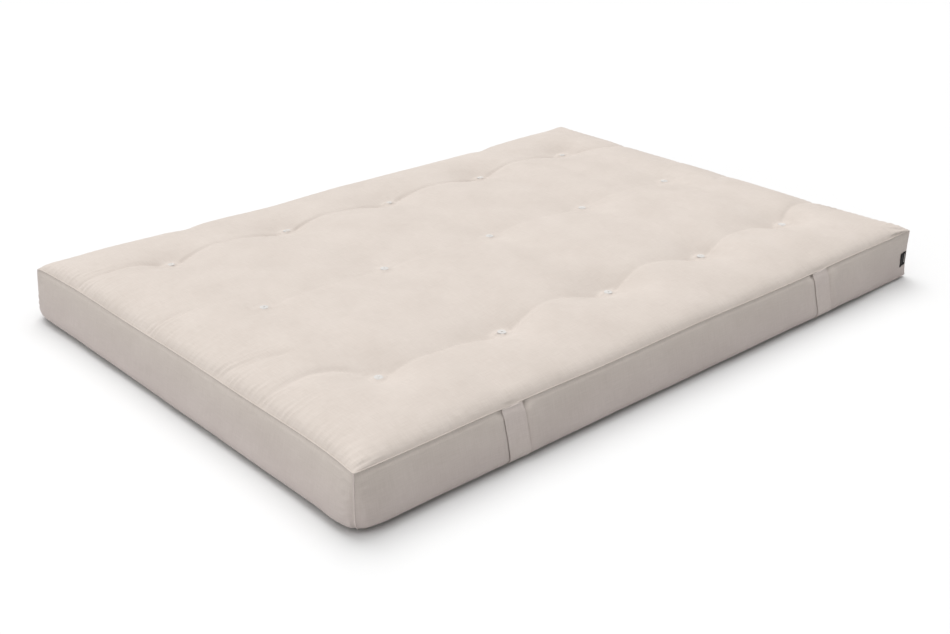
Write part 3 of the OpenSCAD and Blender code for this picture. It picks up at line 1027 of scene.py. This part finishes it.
class Nodes:
    """A short way to write the nodes of a material or of the world."""

    def __init__(self, owner, space="Object"):
        owner.use_nodes = True
        self.owner = owner
        self.tree = owner.node_tree
        self.where = self.add("ShaderNodeTexCoord").outputs[space]

    def put(self, node, inputs):
        for key, value in inputs.items():
            if isinstance(value, bpy.types.NodeSocket):
                self.tree.links.new(value, node.inputs[key])
            else:
                node.inputs[key].default_value = value
        return node

    def add(self, kind, inputs=None, **settings):
        node = self.tree.nodes.new(kind)
        for key, value in settings.items():
            setattr(node, key, value)
        return self.put(node, inputs or {})

    def math(self, operation, a, b=0.0, clamp=False):
        node = self.add("ShaderNodeMath", {0: a, 1: b}, operation=operation, use_clamp=clamp)
        return node.outputs[0]

    def times(self, a, b):
        return self.math("MULTIPLY", a, b)

    def plus(self, a, b):
        return self.math("ADD", a, b)

    def wave(self, value, pitch):
        return self.math("SINE", self.times(value, 2 * math.pi / pitch))

    def split(self):
        return self.add("ShaderNodeSeparateXYZ", {0: self.where}).outputs

    def plan(self, a, b):
        return self.add("ShaderNodeCombineXYZ", {0: a, 1: b}).outputs[0]

    def noise(self, vector, scale, detail=3.0, roughness=0.55):
        """Noise of one scale, or with a scale for each axis."""
        if isinstance(scale, tuple):
            inputs = {"Vector": vector, "Scale": scale}
            vector = self.add("ShaderNodeMapping", inputs).outputs[0]
            scale = 1.0
        inputs = {"Vector": vector, "Scale": scale, "Detail": detail, "Roughness": roughness}
        return self.add("ShaderNodeTexNoise", inputs).outputs["Fac"]

    def span(self, value, low, high, to_low=0.0, to_high=1.0):
        inputs = {"Value": value, "From Min": low, "From Max": high,
                  "To Min": to_low, "To Max": to_high}
        return self.add("ShaderNodeMapRange", inputs).outputs[0]

    def mix(self, amount, one, other):
        """Between two colours, each a socket or three numbers."""
        one, other = ((*c, 1) if isinstance(c, tuple) else c for c in (one, other))
        inputs = {0: amount, 6: one, 7: other}
        return self.add("ShaderNodeMix", inputs, data_type="RGBA").outputs[2]

    def finish(self, colour, roughness, height=None, depth=0.0, strength=1.0, plain=None):
        """The material, with a bump from height and the shader's plain inputs."""
        inputs = {"Base Color": colour, "Roughness": roughness, **(plain or {})}
        if height is not None:
            bump = {"Height": height, "Distance": depth, "Strength": strength}
            inputs["Normal"] = self.add("ShaderNodeBump", bump).outputs[0]
        self.put(self.tree.nodes["Principled BSDF"], inputs)
        return self.owner


def cloth_material(name, colour, axes, thread=1.1 * MM, specks=1.0, upper=None, puckers=False):
    """Unbleached cotton: a plain weave with slubs, soft shade changes and seed specks.

    axes are the two object axes that the threads follow; upper is a lighter colour that the
    cloth turns to from 25 mm to 125 mm up, painted light that makes the borders lighter towards
    the top; puckers adds the finest gathers beside the end seams.
    """
    n = Nodes(new_material(f"cotton_{name}"))
    split = n.split()
    a, b = (split[axis] for axis in axes)
    flat = n.plan(a, b)
    weave = n.times(n.wave(a, thread), n.wave(b, thread))
    slubs = n.plus(n.noise(flat, (26, 520, 1), 2.0), n.noise(flat, (520, 26, 1), 2.0))
    cloudy = n.noise(flat, 7.0, 3.0)
    crumple = n.noise(flat, 55.0, 4.0, 0.6)
    shade = n.plus(n.span(slubs, 0.7, 1.3, 0.0, 0.6), n.span(cloudy, 0.3, 0.7, 0.0, 0.4))

    def shaded(dye):
        deep = tuple(c * f for c, f in zip(dye, (0.90, 0.885, 0.87)))
        return n.mix(shade, deep, tuple(min(c * 1.06, 1) for c in dye))

    base = shaded(colour)
    # painted light: the cloth goes from its darker colour below 25 mm up to the lighter upper
    # colour above 125 mm
    if upper:
        base = n.mix(n.span(split[2], 0.025, 0.125), base, shaded(upper))
    cells = n.add("ShaderNodeTexVoronoi", {"Vector": flat, "Scale": 13.0}).outputs
    chance = n.add("ShaderNodeSeparateColor", {0: cells["Color"]}).outputs[0]
    size = n.span(cells["Distance"], 0.006, 0.012, 1.0, 0.0)
    speck = n.times(n.times(size, n.math("GREATER_THAN", chance, 0.55)), 0.55 * specks)
    coloured = n.mix(speck, base, SEED_BROWN)
    height = n.plus(n.times(weave, 0.22), n.times(slubs, 0.5))
    height = n.plus(height, n.times(crumple, 2.2))
    if puckers:
        bent = n.plus(b, n.times(n.noise(flat, 4.0, 1.0), 0.05))
        fine = n.noise(n.plan(n.times(a, 5.0), n.times(bent, 85.0)), 1.0, 2.0)
        near_end = n.span(n.math("ABSOLUTE", a), HALF_L - 0.13, HALF_L - 0.03)
        patches = n.span(n.noise(flat, (2, 9, 1), 1.0), 0.40, 0.60)
        height = n.plus(height, n.times(n.times(fine, near_end), n.times(patches, 9.0)))
    plain = {"Specular IOR Level": 0.2, "Sheen Weight": 0.12, "Sheen Roughness": 0.5}
    roughness = n.span(slubs, 0.7, 1.3, 0.88, 0.98)
    return n.finish(coloured, roughness, height, 0.35 * MM, 0.6, plain)


def fibrous(name, noises, deep, pale, roughness, depth, strength=0.7, **plain):
    """A material mottled by its noises, with a bump from the first of them."""
    n = Nodes(new_material(name))
    sources = [n.noise(n.where, *noise) for noise in noises]
    amount = n.times(*sources) if len(sources) == 2 else sources[0]
    plain = {key.replace("_", " "): value for key, value in plain.items()}
    return n.finish(n.mix(amount, deep, pale), roughness, sources[0], depth, strength, plain)


def label_material():
    """Black ribbon with fine ribs and two plain pale bars."""
    n = Nodes(new_material("woven_black_ribbon"))
    x, _, z = n.split()
    low, high = label_box()
    across = n.span(x, low.x, high.x)
    up = n.span(z, low.z, high.z)

    def bar(centre, half_width):
        off = n.math("ABSOLUTE", n.math("SUBTRACT", across, centre))
        return n.math("LESS_THAN", off, half_width)

    inside = n.times(n.math("GREATER_THAN", up, 0.18), n.math("LESS_THAN", up, 0.82))
    bars = n.times(n.math("MAXIMUM", bar(0.76, 0.040), n.times(bar(0.36, 0.016), 0.35)), inside)
    weave = n.times(n.wave(z, 0.7 * MM), n.wave(x, 0.5 * MM))
    worn = n.noise(n.where, 400.0)
    black = n.mix(worn, (0.008, 0.008, 0.009), (0.022, 0.021, 0.021))
    pale = n.mix(worn, (0.40, 0.39, 0.37), (0.62, 0.61, 0.58))
    colour = n.mix(bars, black, pale)
    return n.finish(colour, 0.72, weave, 0.15 * MM, 0.7, {"Specular IOR Level": 0.08})


def coir_material():
    n = Nodes(new_material("coconut_fibre"))
    one = n.noise(n.where, (30, 420, 420), 5.0, 0.7)
    other = n.noise(n.where, (420, 30, 420), 5.0, 0.7)
    fibres = n.math("MAXIMUM", one, other)
    colour = n.mix(n.span(fibres, 0.45, 0.75), (0.055, 0.022, 0.009), (0.36, 0.19, 0.085))
    return n.finish(colour, 0.85, fibres, 2.5 * MM)


MATERIALS = {
    "top": cloth_material("top", COTTON, (0, 1), puckers=True),
    # the borders: painted shade, made lighter towards the top seam with painted light
    "long": cloth_material("long_side", SIDE_COTTON_PAINTED_SHADE, (0, 2), upper=SIDE_UPPER_PAINTED_LIGHT),
    "end": cloth_material("end", SIDE_COTTON_PAINTED_SHADE, (1, 2), upper=SIDE_UPPER_PAINTED_LIGHT),
    "seam": cloth_material("seam", COTTON, (0, 1), specks=0),
    # the bottom seam takes the borders' painted shade
    "low_seam": cloth_material("low_seam", SIDE_COTTON_PAINTED_SHADE, (0, 1), specks=0),
    # the upright corner seams carry a painted highlight
    "corner_seam": cloth_material("corner_seam", CORNER_COTTON_PAINTED_HIGHLIGHT, (0, 2), specks=0),
    "strap": cloth_material("strap", STRAP_COTTON, (0, 2), thread=1.4 * MM, specks=0.5),
    "felt": fibrous(
        "white_felt", ((900.0, 5.0, 0.7), (240.0,)), (0.50, 0.485, 0.470), (0.60, 0.585, 0.570),
        0.97, 0.5 * MM, 0.6, Sheen_Weight=0.15, Sheen_Roughness=0.6),
    "twine": fibrous(
        "waxed_twine", (((1400, 1400, 300), 4.0),), (0.62, 0.60, 0.57), (0.80, 0.78, 0.75),
        0.7, 0.2 * MM, 0.8),
    "label": label_material(),
    "cotton_filling": fibrous(
        "raw_cotton", (((60, 60, 220), 6.0, 0.7), (24.0, 4.0)), (0.74, 0.71, 0.64),
        (0.95, 0.94, 0.91), 1.0, 3 * MM, Sheen_Weight=0.4),
    "coir": coir_material(),
}


# ---- the mattress
def build_mattress():
    top = top_cloth()
    edges = {"front": top[:, 0], "back": top[:, -1], "left": top[0], "right": top[-1]}
    borders = {side: border_cloth(edge, side) for side, edge in edges.items()}
    low = {side: border[:, -1] for side, border in borders.items()}

    cut_l, cut_w, cut_h = 2 * HALF_L, 2 * HALF_W, SEAM_Z
    panel("top", top, "top", "top_panel", False)
    panel("underside", bottom_cloth(**low), "top", "bottom_panel", True)
    for side, border in borders.items():
        kind, cut = ("end", cut_w) if SIDES[side][0] else ("long", cut_l)
        flip = side in ("front", "right")
        panel(side, border, kind, f"{side}_border", flip)

    seam_piece("seam_top", loop_of(**edges), "top_seam", 101, "seam", 1.2 * MM)
    seam_piece("seam_bottom", loop_of(**low), "bottom_seam", 103, "low_seam", 1.0 * MM)
    upright = [strand(borders[side][column], 1.5 * MM, sides=8)
               for side in ("front", "back") for column in (0, -1)]
    piece("seam_corners", joined(upright), "corner_seam", "corner_seams")

    seeds = iter(range(110, 114))
    for side in ("front", "back"):
        for end, at in zip(("left", "right"), STRAP_PLACES):
            strap(f"{side}_strap_{end}", f"{side}_handle_{end}", borders[side],
                  SIDES[side][2], at, next(seeds))
    label(borders["front"])
    tufts()
    filling(top)
    closing_stitches(borders["back"])


# ---- stage
WORLD_LOW = 0.03     # light from the horizon, in the world's strength
WORLD_HIGH = 1.76    # light from straight above
WORLD_LEFT = 1.35    # a low panel of light off the left end
SUN = 1.85
TO_SUN = (0.22, 0.44, 0.87)


def stage():
    bpy.ops.mesh.primitive_plane_add(size=60)
    floor = bpy.context.active_object
    floor.name = "floor"
    n = Nodes(new_material("pale_floor"))
    colour = n.mix(n.noise(n.where, 0.8, 2.0), (0.665, 0.665, 0.665), (0.68, 0.68, 0.68))
    floor.data.materials.append(n.finish(colour, 0.9))

    world = bpy.data.worlds.new("studio")
    n = Nodes(world, "Generated")
    x, _, z = n.split()
    above = n.span(n.math("POWER", z, 2.0, clamp=True), 0, 1, WORLD_LOW, WORLD_HIGH)
    left = n.math("POWER", n.math("MULTIPLY", x, -1, clamp=True), 4.0)
    light = {"Color": (1, 1, 1, 1), "Strength": n.plus(n.times(left, WORLD_LEFT), above)}
    n.put(n.tree.nodes["Background"], light)
    bpy.context.scene.world = world

    key = bpy.data.lights.new("softbox", "SUN")
    key.energy = SUN
    key.angle = math.radians(45)
    lamp = bpy.data.objects.new("softbox", key)
    lamp.rotation_euler = Vector(TO_SUN).to_track_quat("Z", "Y").to_euler()
    bpy.context.scene.collection.objects.link(lamp)


def camera():
    """The camera stands off the near left corner, a little above the mattress."""
    at = Vector((-2.272, -2.452, 1.460))
    looks_at = Vector((-0.1275, -0.0823, 0.0))
    roll = math.radians(0.21)
    data = bpy.data.cameras.new("camera")
    data.sensor_width = 36
    data.lens = 48.96
    obj = bpy.data.objects.new("camera", data)
    facing = (looks_at - at).to_track_quat("-Z", "Y").to_matrix()
    obj.matrix_world = Matrix.Translation(at) @ (facing @ Matrix.Rotation(roll, 3, "Z")).to_4x4()
    bpy.context.scene.collection.objects.link(obj)
    bpy.context.scene.camera = obj


camera()
stage()
build_mattress()
bpy.context.scene.view_settings.view_transform = "Standard"
